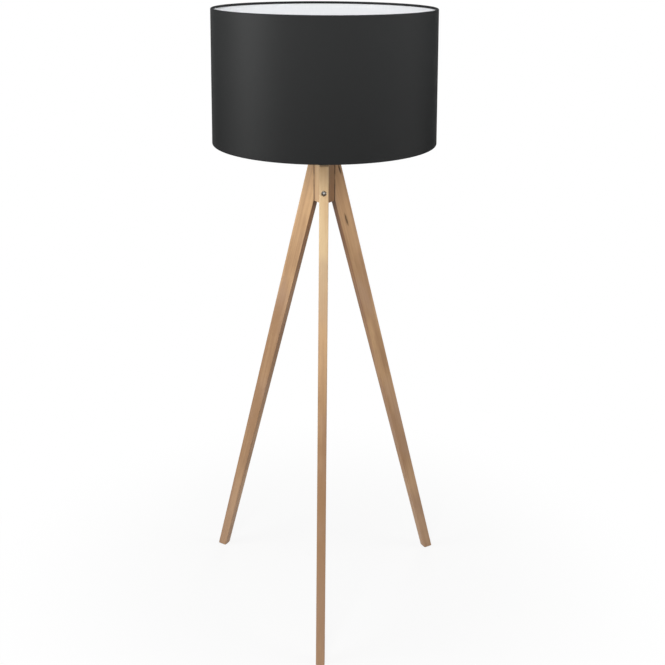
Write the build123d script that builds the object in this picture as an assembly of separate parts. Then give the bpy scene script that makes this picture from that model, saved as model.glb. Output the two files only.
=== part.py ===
from build123d import *
import os
from math import acos, cos, degrees, radians, sin, sqrt, tan

# Tripod floor lamp: three tapered wooden legs bolted to a six-sided wooden hub, a lampholder
# screwed to the hub, and a fabric drum shade clamped on the lampholder by a screw ring.
# Millimetres, +Z up. The origin is on the lamp's axis at floor level; the front leg points to -Y.

# Stand
STAND_HEIGHT = 1139.0           # floor to the top of the hub and of the legs
LEG_AZIMUTHS = {"leg_front": -90.0, "leg_right": 30.0, "leg_left": 150.0}
LEG_WIDTH = 20.8                # across the leg, side to side
LEG_EDGE_ROUND = 1.2
FOOT_REACH = 348.0              # lamp axis to the outer edge of a foot, at floor level
FOOT_DEPTH = 23.7               # foot, inner to outer edge, along the floor
LEG_TOP_DEPTH = 17.4            # leg top, from the hub's face outwards
LEG_HEEL_RISE = 10.0            # hub's underside to the point where a leg leaves the hub
PAD_THICKNESS = 2.0
PAD_INSET = 1.5                 # pad's edge, inside the foot's edge
PAD_CORNER = 3.0

# Hub
HUB_HEIGHT = 87.0
HUB_FACE_MARGIN = 1.15          # hub face that shows on each side of a leg
HUB_EDGE_ROUND = 0.8
HUB_CORE_WALL = 2.8             # wood left between a leg's holes and the stem's bore

# Leg fastenings
BOLT_RISE = 29.0                # hub's underside to the bolts
BOLT_D = 6.0
BOLT_HOLE_GAP = 0.3
BOLT_HEAD_D = 10.5
BOLT_HEAD_HEIGHT = 3.3
BOLT_HEAD_RECESS = 2.3          # leg's outer face to the top of the head
BOLT_SOCKET = 4.0               # key size, across flats
BOLT_SOCKET_DEPTH = 2.0
BOLT_ENGAGEMENT = 7.4           # thread held by the insert
COUNTERBORE_D = 12.6
BOLT_WASHER_D = 12.0
BOLT_WASHER_THICKNESS = 1.6
INSERT_D = 9.0
DOWEL_DROP = 22.0               # hub's top to the dowels
DOWEL_D = 8.0
DOWEL_COVER = 8.0               # wood left between a dowel and the leg's outer face
DOWEL_CHAMFER = 1.0
SEAT_GAP = 0.05                 # glued and screwed seats, per side

# Stem through the hub
STEM_D = 10.0
STEM_WALL = 1.0
STEM_GAP = 0.2                  # stem in the hub and the washers, per side
STEM_TAIL = 2.5                 # stem below the nut
STEM_WASHER_D = 22.0
STEM_WASHER_THICKNESS = 1.5
NUT_FLATS = 14.0
NUT_HEIGHT = 5.0
NUT_POCKET_GAP = 1.0            # nut pocket around the washer, per side
BUSH_FLANGE_D = 13.0
BUSH_FLANGE = 1.5
BUSH_LENGTH = 10.0              # part of the bush inside the stem
BUSH_WALL = 0.95
BUSH_RECESS = 0.5               # bush inside the hub's underside

# Bulb
BULB_CAP_RADIUS = 13.1          # crest of the screw cap
BULB_CAP_ROOT = 12.2
BULB_CAP_LENGTH = 23.0
BULB_THREAD_PITCH = 3.6
BULB_THREADS = 4
BULB_TIP_RADIUS = 4.6
BULB_TIP_HEIGHT = 1.6
BULB_INSULATOR_HEIGHT = 2.6
BULB_RADIUS = 30.0
BULB_LENGTH = 108.0
BULB_NECK_RADIUS = 13.3
BULB_WALL = 1.3
BULB_BOARD_THICKNESS = 1.5

# Lampholder
HOLDER_CAP_HEIGHT = 35.0
HOLDER_CAP_WALL = 1.7
HOLDER_CAP_FLOOR = 3.0
HOLDER_CAP_FOOT = 7.0           # rounding of the cap's lower edge
HOLDER_BOSS_WALL = 3.0
STEM_IN_HOLDER = 10.0           # stem screwed into the cap
LEDGE_WIDTH = 2.0
INSERT_BLOCK_HEIGHT = 6.0
COLLAR_HEIGHT = 5.0             # sleeve's collar inside the cap
COLLAR_WALL = 3.0
HOLDER_FIT = 0.2                # block and collar in the cap, per side
SLEEVE_BORE_GAP = 0.5           # bulb's cap in the sleeve, per side
SLEEVE_WALL = 6.1
SLEEVE_HEIGHT = 24.0
SHOULDER_RISE = 13.4            # sleeve's base to the shoulder that carries the shade
SHOULDER_THICKNESS = 3.0
SHOULDER_WIDTH = 3.8
SLEEVE_MOUTH_CHAMFER = 1.2
CONTACT_THICKNESS = 0.6
CONTACT_WIDTH = 7.0
CONTACT_BASE = 7.0
CONTACT_GAP = 0.35              # contact to the bulb
CONTACT_RISE = 2.9              # block to the top of the centre contact
SIDE_CONTACT_HEIGHT = 13.0
CONTACT_SLOT_GAP = 0.6
TERMINAL_SCREW_D = 3.0
TERMINAL_HEAD_D = 5.5
TERMINAL_HEAD_HEIGHT = 2.0
TERMINAL_SCREW_LENGTH = 5.0
TERMINAL_SLOT_WIDTH = 0.8
TERMINAL_SLOT_DEPTH = 0.8

# Shade
SHADE_HEIGHT = 291.0
SHADE_TOP_RADIUS = 247.0        # outside of the upper rolled edge
SHADE_FLARE = 7.0               # lower rolled edge, outside the upper one
FABRIC_THICKNESS = 0.7
LINER_THICKNESS = 0.7
LINER_GAP = 0.05                # glue line between liner and fabric
WIRE_D = 3.0
WIRE_GAP = 0.5                  # wire in its rolled edge
ROLL_GAP = 0.25                 # end of the roll to the liner
SPOKE_COUNT = 3
FIRST_SPOKE_AZIMUTH = 90.0
SPOKE_NOTCH_GAP = 1.0           # notch in the rolled edge around a spoke
SPOKE_WELD = 0.2                # flat under a spoke where it lies on the carrier plate
SPOKE_SADDLE = 0.75             # spoke's end that reaches round the lower wire
SPIDER_PLATE_THICKNESS = 1.5
SPIDER_PLATE_LAP = 5.0          # spoke's end on the carrier plate
SPIDER_BORE_GAP = 0.5           # carrier plate around the sleeve
RING_WIDTH = 8.5
RING_HEIGHT = 8.0
RING_FLANGE = 3.0
RING_COLLAR_WALL = 4.0
RING_THREAD_GAP = 0.3           # ring on the sleeve's thread
RING_PLAY = 0.2                 # ring to the carrier plate, so that the shade turns
RING_SPOKE_GAP = 1.5            # ring's edge to the ends of the spokes
RING_NOTCHES = 12
RING_NOTCH_RADIUS = 2.0

# Worked out from the sizes above
UPRIGHT = (Align.CENTER, Align.CENTER, Align.MIN)
HUB_SIDES = 2 * len(LEG_AZIMUTHS)
HUB_FLAT = (LEG_WIDTH / 2 + HUB_FACE_MARGIN) / tan(radians(180 / HUB_SIDES))
HUB_BOTTOM = STAND_HEIGHT - HUB_HEIGHT
HEEL_Z = HUB_BOTTOM + LEG_HEEL_RISE
BOLT_Z = HUB_BOTTOM + BOLT_RISE
DOWEL_Z = STAND_HEIGHT - DOWEL_DROP
STEM_BORE = STEM_D / 2 + STEM_GAP
CORE_RADIUS = STEM_BORE + HUB_CORE_WALL
BUSH_BOTTOM = HUB_BOTTOM + BUSH_RECESS
STEM_BOTTOM = BUSH_BOTTOM + BUSH_FLANGE
NUT_BOTTOM = STEM_BOTTOM + STEM_TAIL
NUT_TOP = NUT_BOTTOM + NUT_HEIGHT
POCKET_TOP = NUT_TOP + STEM_WASHER_THICKNESS

CAP_BOTTOM = STAND_HEIGHT + STEM_WASHER_THICKNESS
CAP_TOP = CAP_BOTTOM + HOLDER_CAP_HEIGHT
STEM_TOP = CAP_BOTTOM + STEM_IN_HOLDER
BLOCK_TOP = CAP_TOP - COLLAR_HEIGHT
BLOCK_BOTTOM = BLOCK_TOP - INSERT_BLOCK_HEIGHT
SLEEVE_BORE = BULB_CAP_RADIUS + SLEEVE_BORE_GAP
HOLDER_RADIUS = SLEEVE_BORE + SLEEVE_WALL
CAP_BORE = HOLDER_RADIUS - HOLDER_CAP_WALL
SLEEVE_TOP = CAP_TOP + SLEEVE_HEIGHT
SHOULDER_TOP = CAP_TOP + SHOULDER_RISE
CONTACT_TOP = BLOCK_TOP + CONTACT_RISE
SIDE_CONTACT_X = BULB_CAP_RADIUS + CONTACT_GAP

TIP_BOTTOM = CONTACT_TOP + CONTACT_GAP
TIP_TOP = TIP_BOTTOM + BULB_TIP_HEIGHT
BULB_CAP_BOTTOM = TIP_TOP + BULB_INSULATOR_HEIGHT
BULB_CAP_TOP = BULB_CAP_BOTTOM + BULB_CAP_LENGTH
BULB_CENTRE = TIP_BOTTOM + BULB_LENGTH - BULB_RADIUS

SHADE_BOTTOM_RADIUS = SHADE_TOP_RADIUS + SHADE_FLARE
PLATE_TOP = SHOULDER_TOP + SPIDER_PLATE_THICKNESS
WIRE_RADIUS = WIRE_D / 2
LOWER_WIRE_Z = PLATE_TOP + WIRE_RADIUS - SPOKE_WELD
ROLL_BORE = WIRE_RADIUS + WIRE_GAP
ROLL_RADIUS = ROLL_BORE + FABRIC_THICKNESS
UPPER_WIRE_Z = LOWER_WIRE_Z + SHADE_HEIGHT - 2 * ROLL_RADIUS
LOWER_WIRE_RADIUS = SHADE_BOTTOM_RADIUS - ROLL_RADIUS
UPPER_WIRE_RADIUS = SHADE_TOP_RADIUS - ROLL_RADIUS
RING_BORE = HOLDER_RADIUS + RING_THREAD_GAP
RING_RADIUS = RING_BORE + RING_WIDTH
RING_BOTTOM = PLATE_TOP + RING_PLAY
SPOKE_START = RING_RADIUS + RING_SPOKE_GAP
SPIDER_PLATE_RADIUS = SPOKE_START + SPIDER_PLATE_LAP


def outer_edge(z):
    """Distance from the lamp's axis to a leg's outer face at height z."""
    top = HUB_FLAT + LEG_TOP_DEPTH
    return FOOT_REACH + (top - FOOT_REACH) * z / STAND_HEIGHT


def inner_edge(z):
    """Distance from the lamp's axis to a leg's inner face at height z, up to the heel."""
    foot = FOOT_REACH - FOOT_DEPTH
    return foot + (HUB_FLAT - foot) * z / HEEL_Z


def disc(radius, low, high, bore=0.0):
    """Upright disc between two heights, with a bore if one is given."""
    body = Pos(0, 0, low) * Cylinder(radius, high - low, align=UPRIGHT)
    if bore > 0:
        body -= Pos(0, 0, low) * Cylinder(bore, high - low, align=UPRIGHT)
    return body


def rod(radius, start, end, z):
    """Level rod along +X at height z, between two distances from the lamp's axis."""
    return Pos(start, 0, z) * Rot(0, 90, 0) * Cylinder(radius, end - start, align=UPRIGHT)


def lathe(*edges):
    """Solid turned about the lamp's axis from a closed outline of (radius, height) edges."""
    return revolve(Plane.XZ * make_face(edges), Axis.Z)


def turned(*points):
    """Solid turned about the lamp's axis from the corners of its outline."""
    return lathe(*Polyline(*points, close=True).edges())


def strip(width, *points):
    """Flat strip of the given width, from the corners of its outline in the XZ plane."""
    return extrude(Plane.XZ * make_face(Polyline(*points, close=True).edges()), width / 2, both=True)


def on_each_leg(piece):
    """The same piece, made on +X, set once on each leg."""
    return Compound([(Rot(0, 0, azimuth) * piece).solid() for azimuth in LEG_AZIMUTHS.values()])


# Stand
def bolt_seat():
    """Distance from the axis to the underside of a bolt's head."""
    return outer_edge(BOLT_Z) - BOLT_HEAD_RECESS - BOLT_HEAD_HEIGHT


def dowel_end():
    """Distance from the axis to a dowel's outer end."""
    return outer_edge(DOWEL_Z + DOWEL_D / 2) - DOWEL_COVER


def leg():
    """Tapered leg on +X: level foot, upright seat on the hub, bolt and dowel holes."""
    top_outer = outer_edge(STAND_HEIGHT)
    blank = strip(
        LEG_WIDTH,
        (inner_edge(PAD_THICKNESS), PAD_THICKNESS),
        (outer_edge(PAD_THICKNESS), PAD_THICKNESS),
        (top_outer, STAND_HEIGHT),
        (HUB_FLAT, STAND_HEIGHT),
        (HUB_FLAT, HEEL_Z),
    )
    long_edges = blank.edges().filter_by(lambda edge: edge.length > HEEL_Z - PAD_THICKNESS)
    body = fillet(long_edges, LEG_EDGE_ROUND)
    seat = bolt_seat() - BOLT_WASHER_THICKNESS
    body -= rod(BOLT_D / 2 + BOLT_HOLE_GAP, HUB_FLAT, seat, BOLT_Z)
    body -= rod(COUNTERBORE_D / 2, seat, outer_edge(HUB_BOTTOM), BOLT_Z)
    body -= rod(DOWEL_D / 2 + SEAT_GAP, HUB_FLAT, dowel_end(), DOWEL_Z)
    return body


def hub():
    """Six-sided block with the stem's bore, the nut's pocket and the legs' holes."""
    outline = RegularPolygon(HUB_FLAT, HUB_SIDES, major_radius=False)
    body = Pos(0, 0, HUB_BOTTOM) * extrude(outline, HUB_HEIGHT)
    body = fillet(body.edges().filter_by(Axis.Z), HUB_EDGE_ROUND)
    body -= disc(STEM_BORE, HUB_BOTTOM, STAND_HEIGHT)
    body -= disc(STEM_WASHER_D / 2 + NUT_POCKET_GAP, HUB_BOTTOM, POCKET_TOP)
    for azimuth in LEG_AZIMUTHS.values():
        holes = rod(INSERT_D / 2 + SEAT_GAP, CORE_RADIUS, HUB_FLAT, BOLT_Z)
        holes += rod(DOWEL_D / 2 + SEAT_GAP, CORE_RADIUS, HUB_FLAT, DOWEL_Z)
        body -= Rot(0, 0, azimuth) * holes
    return body


def leg_bolt():
    """Button-head screw on +X with a hexagon socket."""
    seat = bolt_seat()
    dome = (BOLT_HEAD_D**2 / 4 + BOLT_HEAD_HEIGHT**2) / (2 * BOLT_HEAD_HEIGHT)
    head = Pos(0, 0, BOLT_HEAD_HEIGHT - dome) * Sphere(dome)
    head &= Cylinder(BOLT_HEAD_D, BOLT_HEAD_HEIGHT, align=UPRIGHT)
    key = extrude(RegularPolygon(BOLT_SOCKET / 2, 6, major_radius=False), BOLT_SOCKET_DEPTH)
    head -= Pos(0, 0, BOLT_HEAD_HEIGHT - BOLT_SOCKET_DEPTH) * key
    return Pos(seat, 0, BOLT_Z) * Rot(0, 90, 0) * head + rod(
        BOLT_D / 2, HUB_FLAT - BOLT_ENGAGEMENT, seat, BOLT_Z
    )


def bolt_washer():
    """Flat washer under a bolt's head, on +X."""
    seat = bolt_seat()
    body = rod(BOLT_WASHER_D / 2, seat - BOLT_WASHER_THICKNESS, seat, BOLT_Z)
    return body - rod(BOLT_D / 2 + BOLT_HOLE_GAP, seat - BOLT_WASHER_THICKNESS, seat, BOLT_Z)


def hub_insert():
    """Threaded sleeve set in the hub, on +X."""
    body = rod(INSERT_D / 2, CORE_RADIUS, HUB_FLAT, BOLT_Z)
    return body - rod(BOLT_D / 2 + SEAT_GAP, CORE_RADIUS, HUB_FLAT, BOLT_Z)


def leg_dowel():
    """Locating dowel between the hub and a leg, on +X."""
    body = rod(DOWEL_D / 2, CORE_RADIUS, dowel_end(), DOWEL_Z)
    return chamfer(body.edges().filter_by(GeomType.CIRCLE), DOWEL_CHAMFER)


def foot_pad():
    """Thin pad under a foot, on +X."""
    start = inner_edge(PAD_THICKNESS) + PAD_INSET
    end = outer_edge(PAD_THICKNESS) - PAD_INSET
    outline = RectangleRounded(end - start, LEG_WIDTH - 2 * PAD_INSET, PAD_CORNER)
    return Pos((start + end) / 2, 0, 0) * extrude(outline, PAD_THICKNESS)


# Stem
def stem_nut():
    """Thin hexagon nut on the stem's lower end."""
    outline = RegularPolygon(NUT_FLATS / 2, 6, major_radius=False)
    body = Pos(0, 0, NUT_BOTTOM) * extrude(outline, NUT_HEIGHT)
    return body - disc(STEM_D / 2 + SEAT_GAP, NUT_BOTTOM, NUT_TOP)


def stem_washer(low):
    """Washer on the stem, with its underside at the given height."""
    return disc(STEM_WASHER_D / 2, low, low + STEM_WASHER_THICKNESS, STEM_BORE)


def stem_tube():
    """Hollow threaded stem from the nut up into the lampholder."""
    return disc(STEM_D / 2, STEM_BOTTOM, STEM_TOP, STEM_D / 2 - STEM_WALL)


def cable_bush():
    """Flanged bush that lines the stem's lower end, where the cable goes in."""
    sleeve = STEM_D / 2 - STEM_WALL - SEAT_GAP
    body = disc(BUSH_FLANGE_D / 2, BUSH_BOTTOM, STEM_BOTTOM)
    body += disc(sleeve, STEM_BOTTOM, STEM_BOTTOM + BUSH_LENGTH)
    return body - disc(sleeve - BUSH_WALL, BUSH_BOTTOM, STEM_BOTTOM + BUSH_LENGTH)


# Lampholder
def holder_cap():
    """Lower cup of the lampholder, with the boss that screws on the stem."""
    floor = CAP_BOTTOM + HOLDER_CAP_FLOOR
    ledge = CAP_BORE - LEDGE_WIDTH
    boss = STEM_D / 2 + SEAT_GAP + HOLDER_BOSS_WALL
    body = disc(HOLDER_RADIUS, CAP_BOTTOM, CAP_TOP)
    body = fillet(body.edges().filter_by(GeomType.CIRCLE).sort_by(Axis.Z)[0], HOLDER_CAP_FOOT)
    body -= disc(ledge, floor, CAP_TOP, boss)
    body -= disc(boss, STEM_TOP, CAP_TOP)
    body -= disc(CAP_BORE, BLOCK_BOTTOM, CAP_TOP)
    return body - disc(STEM_D / 2 + SEAT_GAP, CAP_BOTTOM, STEM_TOP)


def terminal_x():
    """Distance from the axis to a terminal screw."""
    return SIDE_CONTACT_X - CONTACT_BASE / 2


def holder_block():
    """Terminal block on the cap's ledge, drilled for the two terminal screws."""
    body = disc(CAP_BORE - HOLDER_FIT, BLOCK_BOTTOM, BLOCK_TOP)
    for side in (-1, 1):
        hole = Cylinder(TERMINAL_SCREW_D / 2 + SEAT_GAP, TERMINAL_SCREW_LENGTH, align=UPRIGHT)
        body -= Pos(side * terminal_x(), 0, BLOCK_TOP - TERMINAL_SCREW_LENGTH) * hole
    return body


def screw_hole(side):
    """Clearance hole for a terminal screw through a contact's base."""
    hole = Cylinder(TERMINAL_SCREW_D / 2 + SEAT_GAP, CONTACT_THICKNESS, align=UPRIGHT)
    return Pos(side * terminal_x(), 0, BLOCK_TOP) * hole


def centre_contact():
    """Bent strip under the bulb's tip, held by the terminal screw on -X."""
    far = terminal_x() + CONTACT_BASE / 2
    near = terminal_x() - CONTACT_BASE / 2
    bend = near - CONTACT_RISE
    body = strip(
        CONTACT_WIDTH,
        (-far, BLOCK_TOP),
        (-near, BLOCK_TOP),
        (-bend, CONTACT_TOP - CONTACT_THICKNESS),
        (BULB_TIP_RADIUS, CONTACT_TOP - CONTACT_THICKNESS),
        (BULB_TIP_RADIUS, CONTACT_TOP),
        (-bend, CONTACT_TOP),
        (-near, BLOCK_TOP + CONTACT_THICKNESS),
        (-far, BLOCK_TOP + CONTACT_THICKNESS),
    )
    return body - screw_hole(-1)


def side_contact():
    """Bent strip beside the bulb's screw cap, held by the terminal screw on +X."""
    back = SIDE_CONTACT_X + CONTACT_THICKNESS
    top = BLOCK_TOP + SIDE_CONTACT_HEIGHT
    body = strip(
        CONTACT_WIDTH,
        (SIDE_CONTACT_X - CONTACT_BASE, BLOCK_TOP),
        (back, BLOCK_TOP),
        (back, top),
        (SIDE_CONTACT_X, top),
        (SIDE_CONTACT_X, BLOCK_TOP + CONTACT_THICKNESS),
        (SIDE_CONTACT_X - CONTACT_BASE, BLOCK_TOP + CONTACT_THICKNESS),
    )
    return body - screw_hole(1)


def terminal_screws():
    """The two slotted screws that hold the contacts."""
    seat = BLOCK_TOP + CONTACT_THICKNESS
    head_top = seat + TERMINAL_HEAD_HEIGHT
    screw = disc(TERMINAL_HEAD_D / 2, seat, head_top)
    screw += disc(TERMINAL_SCREW_D / 2, BLOCK_TOP - TERMINAL_SCREW_LENGTH, seat)
    slot = Box(TERMINAL_SLOT_WIDTH, TERMINAL_HEAD_D, TERMINAL_SLOT_DEPTH, align=UPRIGHT)
    screw -= Pos(0, 0, head_top - TERMINAL_SLOT_DEPTH) * slot
    return Compound([(Pos(side * terminal_x(), 0, 0) * screw).solid() for side in (-1, 1)])


def holder_sleeve():
    """Upper sleeve: collar inside the cap, bore for the bulb, shoulder that carries the shade."""
    collar = CAP_BORE - HOLDER_FIT
    body = disc(HOLDER_RADIUS, CAP_TOP, SLEEVE_TOP)
    body += disc(HOLDER_RADIUS + SHOULDER_WIDTH, SHOULDER_TOP - SHOULDER_THICKNESS, SHOULDER_TOP)
    body -= disc(SLEEVE_BORE, CAP_TOP, SLEEVE_TOP)
    mouth = body.edges().filter_by(GeomType.CIRCLE).group_by(Axis.Z)[-1].sort_by(SortBy.RADIUS)[0]
    body = chamfer(mouth, SLEEVE_MOUTH_CHAMFER)
    body += disc(collar, BLOCK_TOP, CAP_TOP, collar - COLLAR_WALL)
    slot_back = SIDE_CONTACT_X + CONTACT_THICKNESS + CONTACT_SLOT_GAP
    slot_top = BLOCK_TOP + SIDE_CONTACT_HEIGHT + CONTACT_SLOT_GAP
    slot = Box(
        slot_back,
        CONTACT_WIDTH + 2 * CONTACT_SLOT_GAP,
        slot_top - BLOCK_TOP,
        align=(Align.MIN, Align.CENTER, Align.MIN),
    )
    return body - Pos(0, 0, BLOCK_TOP) * slot


# Bulb
def bulb_tip():
    """Round contact on the bulb's end."""
    return disc(BULB_TIP_RADIUS, TIP_BOTTOM, TIP_TOP)


def bulb_insulator():
    """Insulating cone between the tip and the screw cap."""
    return turned(
        (0, TIP_TOP),
        (BULB_TIP_RADIUS, TIP_TOP),
        (BULB_CAP_ROOT, BULB_CAP_BOTTOM),
        (0, BULB_CAP_BOTTOM),
    )


def bulb_cap():
    """Screw cap with its rolled threads as rings."""
    start = BULB_CAP_BOTTOM + (BULB_CAP_LENGTH - BULB_THREADS * BULB_THREAD_PITCH) / 2
    edges = [Line((0, BULB_CAP_BOTTOM), (BULB_CAP_ROOT, BULB_CAP_BOTTOM))]
    edges.append(Line((BULB_CAP_ROOT, BULB_CAP_BOTTOM), (BULB_CAP_ROOT, start)))
    for turn in range(BULB_THREADS):
        low = start + turn * BULB_THREAD_PITCH
        edges.append(
            ThreePointArc(
                (BULB_CAP_ROOT, low),
                (BULB_CAP_RADIUS, low + BULB_THREAD_PITCH / 2),
                (BULB_CAP_ROOT, low + BULB_THREAD_PITCH),
            )
        )
    last = start + BULB_THREADS * BULB_THREAD_PITCH
    edges.append(Line((BULB_CAP_ROOT, last), (BULB_CAP_ROOT, BULB_CAP_TOP)))
    edges.append(Line((BULB_CAP_ROOT, BULB_CAP_TOP), (0, BULB_CAP_TOP)))
    edges.append(Line((0, BULB_CAP_TOP), (0, BULB_CAP_BOTTOM)))
    return lathe(*edges)


def bulb_waist():
    """Radius and height where the bulb's cone runs into its globe without a kink."""
    drop = BULB_CENTRE - BULB_CAP_TOP
    reach = sqrt(BULB_NECK_RADIUS**2 + drop**2)
    tilt = acos(BULB_RADIUS / reach) + acos(drop / reach)
    return BULB_RADIUS * sin(tilt), BULB_CENTRE - BULB_RADIUS * cos(tilt)


def bulb_housing():
    """Cone above the screw cap, closed at the bottom and open to the board above."""
    waist_radius, waist = bulb_waist()
    return turned(
        (0, BULB_CAP_TOP),
        (BULB_NECK_RADIUS, BULB_CAP_TOP),
        (waist_radius, waist),
        (waist_radius - BULB_WALL, waist),
        (BULB_NECK_RADIUS - BULB_WALL, BULB_CAP_TOP + BULB_WALL),
        (0, BULB_CAP_TOP + BULB_WALL),
    )


def bulb_board():
    """Round light board that closes the housing."""
    waist_radius, waist = bulb_waist()
    return disc(waist_radius - BULB_WALL / 2, waist, waist + BULB_BOARD_THICKNESS)


def bulb_diffuser():
    """Opal globe on the housing's rim, around the board."""
    waist_radius, waist = bulb_waist()
    floor = waist + BULB_BOARD_THICKNESS
    globe = Pos(0, 0, BULB_CENTRE) * (Sphere(BULB_RADIUS) - Sphere(BULB_RADIUS - BULB_WALL))
    globe -= disc(2 * BULB_RADIUS, BULB_CENTRE - 2 * BULB_RADIUS, floor)
    return globe


# Shade
def wall_frame():
    """Ends of the shade's wall at the two wires, its direction and its outward normal."""
    low = Vector(LOWER_WIRE_RADIUS, LOWER_WIRE_Z)
    high = Vector(UPPER_WIRE_RADIUS, UPPER_WIRE_Z)
    along = (high - low).normalized()
    outward = Vector(along.Y, -along.X)
    return low, high, along, outward


def shade_cover():
    """Fabric wall whose two edges are rolled around the wires and tucked behind the liner."""
    low, high, along, outward = wall_frame()
    tuck = ROLL_BORE - LINER_GAP - LINER_THICKNESS - ROLL_GAP
    roll_turn = 360 - degrees(acos(tuck / ROLL_RADIUS))

    def at(centre, up, radius, turn):
        angle = radians(turn)
        return centre + outward * (radius * cos(angle)) + up * (radius * sin(angle))

    def roll(centre, up, radius):
        return ThreePointArc(
            at(centre, up, radius, 0),
            at(centre, up, radius, roll_turn / 2),
            at(centre, up, radius, roll_turn),
        )

    edges = []
    for radius in (ROLL_RADIUS, ROLL_BORE):
        edges.append(Line(at(low, -along, radius, 0), at(high, along, radius, 0)))
        edges.append(roll(high, along, radius))
        edges.append(roll(low, -along, radius))
    for centre, up in ((high, along), (low, -along)):
        edges.append(
            Line(at(centre, up, ROLL_RADIUS, roll_turn), at(centre, up, ROLL_BORE, roll_turn))
        )
    body = lathe(*edges)
    notch = Box(
        2 * ROLL_RADIUS,
        WIRE_D + 2 * SPOKE_NOTCH_GAP,
        2 * ROLL_RADIUS + SPOKE_NOTCH_GAP,
        align=(Align.MAX, Align.CENTER, Align.CENTER),
    )
    for azimuth in spoke_azimuths():
        body -= Rot(0, 0, azimuth) * Pos(LOWER_WIRE_RADIUS, 0, LOWER_WIRE_Z) * notch
    return body


def shade_liner():
    """Stiff white lining glued inside the fabric, between the rolled edges."""
    low, high, along, outward = wall_frame()
    outside = outward * (ROLL_BORE - LINER_GAP)
    inside = outward * (ROLL_BORE - LINER_GAP - LINER_THICKNESS)
    tuck = along * ROLL_BORE
    corners = (low + tuck + inside, low + tuck + outside, high - tuck + outside, high - tuck + inside)
    return turned(*corners)


def spoke_azimuths():
    """Directions of the spokes that carry the shade."""
    return [FIRST_SPOKE_AZIMUTH + step * 360 / SPOKE_COUNT for step in range(SPOKE_COUNT)]


def shade_top_ring():
    """Wire ring inside the upper rolled edge."""
    return Pos(0, 0, UPPER_WIRE_Z) * Torus(UPPER_WIRE_RADIUS, WIRE_RADIUS)


def shade_bottom_ring():
    """Wire ring inside the lower rolled edge."""
    return Pos(0, 0, LOWER_WIRE_Z) * Torus(LOWER_WIRE_RADIUS, WIRE_RADIUS)


def carrier_plate():
    """Plate under the spokes that sits on the lampholder's shoulder."""
    return disc(SPIDER_PLATE_RADIUS, SHOULDER_TOP, PLATE_TOP, HOLDER_RADIUS + SPIDER_BORE_GAP)


def shade_spokes():
    """Spokes welded on the carrier plate and to the lower wire ring."""
    end = LOWER_WIRE_RADIUS - WIRE_RADIUS + SPOKE_SADDLE
    spoke = rod(WIRE_RADIUS, SPOKE_START, end, LOWER_WIRE_Z)
    spoke -= shade_bottom_ring()
    spoke -= carrier_plate()
    return Compound([(Rot(0, 0, azimuth) * spoke).solid() for azimuth in spoke_azimuths()])


def shade_ring():
    """Screw ring that clamps the shade, with grip notches round its flange."""
    body = disc(RING_RADIUS, RING_BOTTOM, RING_BOTTOM + RING_FLANGE)
    body += disc(RING_BORE + RING_COLLAR_WALL, RING_BOTTOM, RING_BOTTOM + RING_HEIGHT)
    body -= disc(RING_BORE, RING_BOTTOM, RING_BOTTOM + RING_HEIGHT)
    notch = Pos(0, 0, RING_BOTTOM) * Cylinder(RING_NOTCH_RADIUS, RING_FLANGE, align=UPRIGHT)
    for step in range(RING_NOTCHES):
        body -= Rot(0, 0, step * 360 / RING_NOTCHES) * Pos(RING_RADIUS, 0, 0) * notch
    return body


def all_parts():
    """Every piece of the lamp, under its own name."""
    pieces = {name: Rot(0, 0, azimuth) * leg() for name, azimuth in LEG_AZIMUTHS.items()}
    pieces.update(
        hub=hub(),
        leg_bolts=on_each_leg(leg_bolt()),
        bolt_washers=on_each_leg(bolt_washer()),
        hub_inserts=on_each_leg(hub_insert()),
        leg_dowels=on_each_leg(leg_dowel()),
        foot_pads=on_each_leg(foot_pad()),
        stem_tube=stem_tube(),
        stem_nut=stem_nut(),
        stem_washer_lower=stem_washer(NUT_TOP),
        stem_washer_upper=stem_washer(STAND_HEIGHT),
        cable_bush=cable_bush(),
        lampholder_cap=holder_cap(),
        lampholder_block=holder_block(),
        lampholder_sleeve=holder_sleeve(),
        centre_contact=centre_contact(),
        side_contact=side_contact(),
        terminal_screws=terminal_screws(),
        bulb_tip_contact=bulb_tip(),
        bulb_insulator=bulb_insulator(),
        bulb_cap=bulb_cap(),
        bulb_housing=bulb_housing(),
        bulb_light_board=bulb_board(),
        bulb_diffuser=bulb_diffuser(),
        shade_cover=shade_cover(),
        shade_liner=shade_liner(),
        shade_top_ring=shade_top_ring(),
        shade_bottom_ring=shade_bottom_ring(),
        shade_spokes=shade_spokes(),
        shade_carrier_plate=carrier_plate(),
        shade_clamp_ring=shade_ring(),
    )
    return pieces


os.makedirs("parts", exist_ok=True)
for name, piece in all_parts().items():
    export_step(piece, f"parts/{name}.step")
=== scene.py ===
import math

import bmesh
import bpy
from mathutils import Matrix, Vector, noise


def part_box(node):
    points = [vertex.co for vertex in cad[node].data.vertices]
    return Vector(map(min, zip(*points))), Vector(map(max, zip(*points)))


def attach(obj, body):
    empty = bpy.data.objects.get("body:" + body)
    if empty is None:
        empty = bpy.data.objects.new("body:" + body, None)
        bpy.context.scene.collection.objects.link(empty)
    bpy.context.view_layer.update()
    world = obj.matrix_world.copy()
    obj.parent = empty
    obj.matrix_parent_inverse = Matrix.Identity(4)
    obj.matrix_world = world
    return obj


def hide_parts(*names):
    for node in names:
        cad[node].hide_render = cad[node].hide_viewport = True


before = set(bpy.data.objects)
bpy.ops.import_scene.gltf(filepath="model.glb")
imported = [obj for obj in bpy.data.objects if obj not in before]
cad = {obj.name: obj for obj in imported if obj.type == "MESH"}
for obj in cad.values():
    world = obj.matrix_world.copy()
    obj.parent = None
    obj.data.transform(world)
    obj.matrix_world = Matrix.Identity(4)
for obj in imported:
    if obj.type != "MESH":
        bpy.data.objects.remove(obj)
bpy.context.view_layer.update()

# Camera, in metres and radians, fitted to the photograph's shade rims, leg edges and feet
PICTURE_PIXELS = 665
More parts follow.
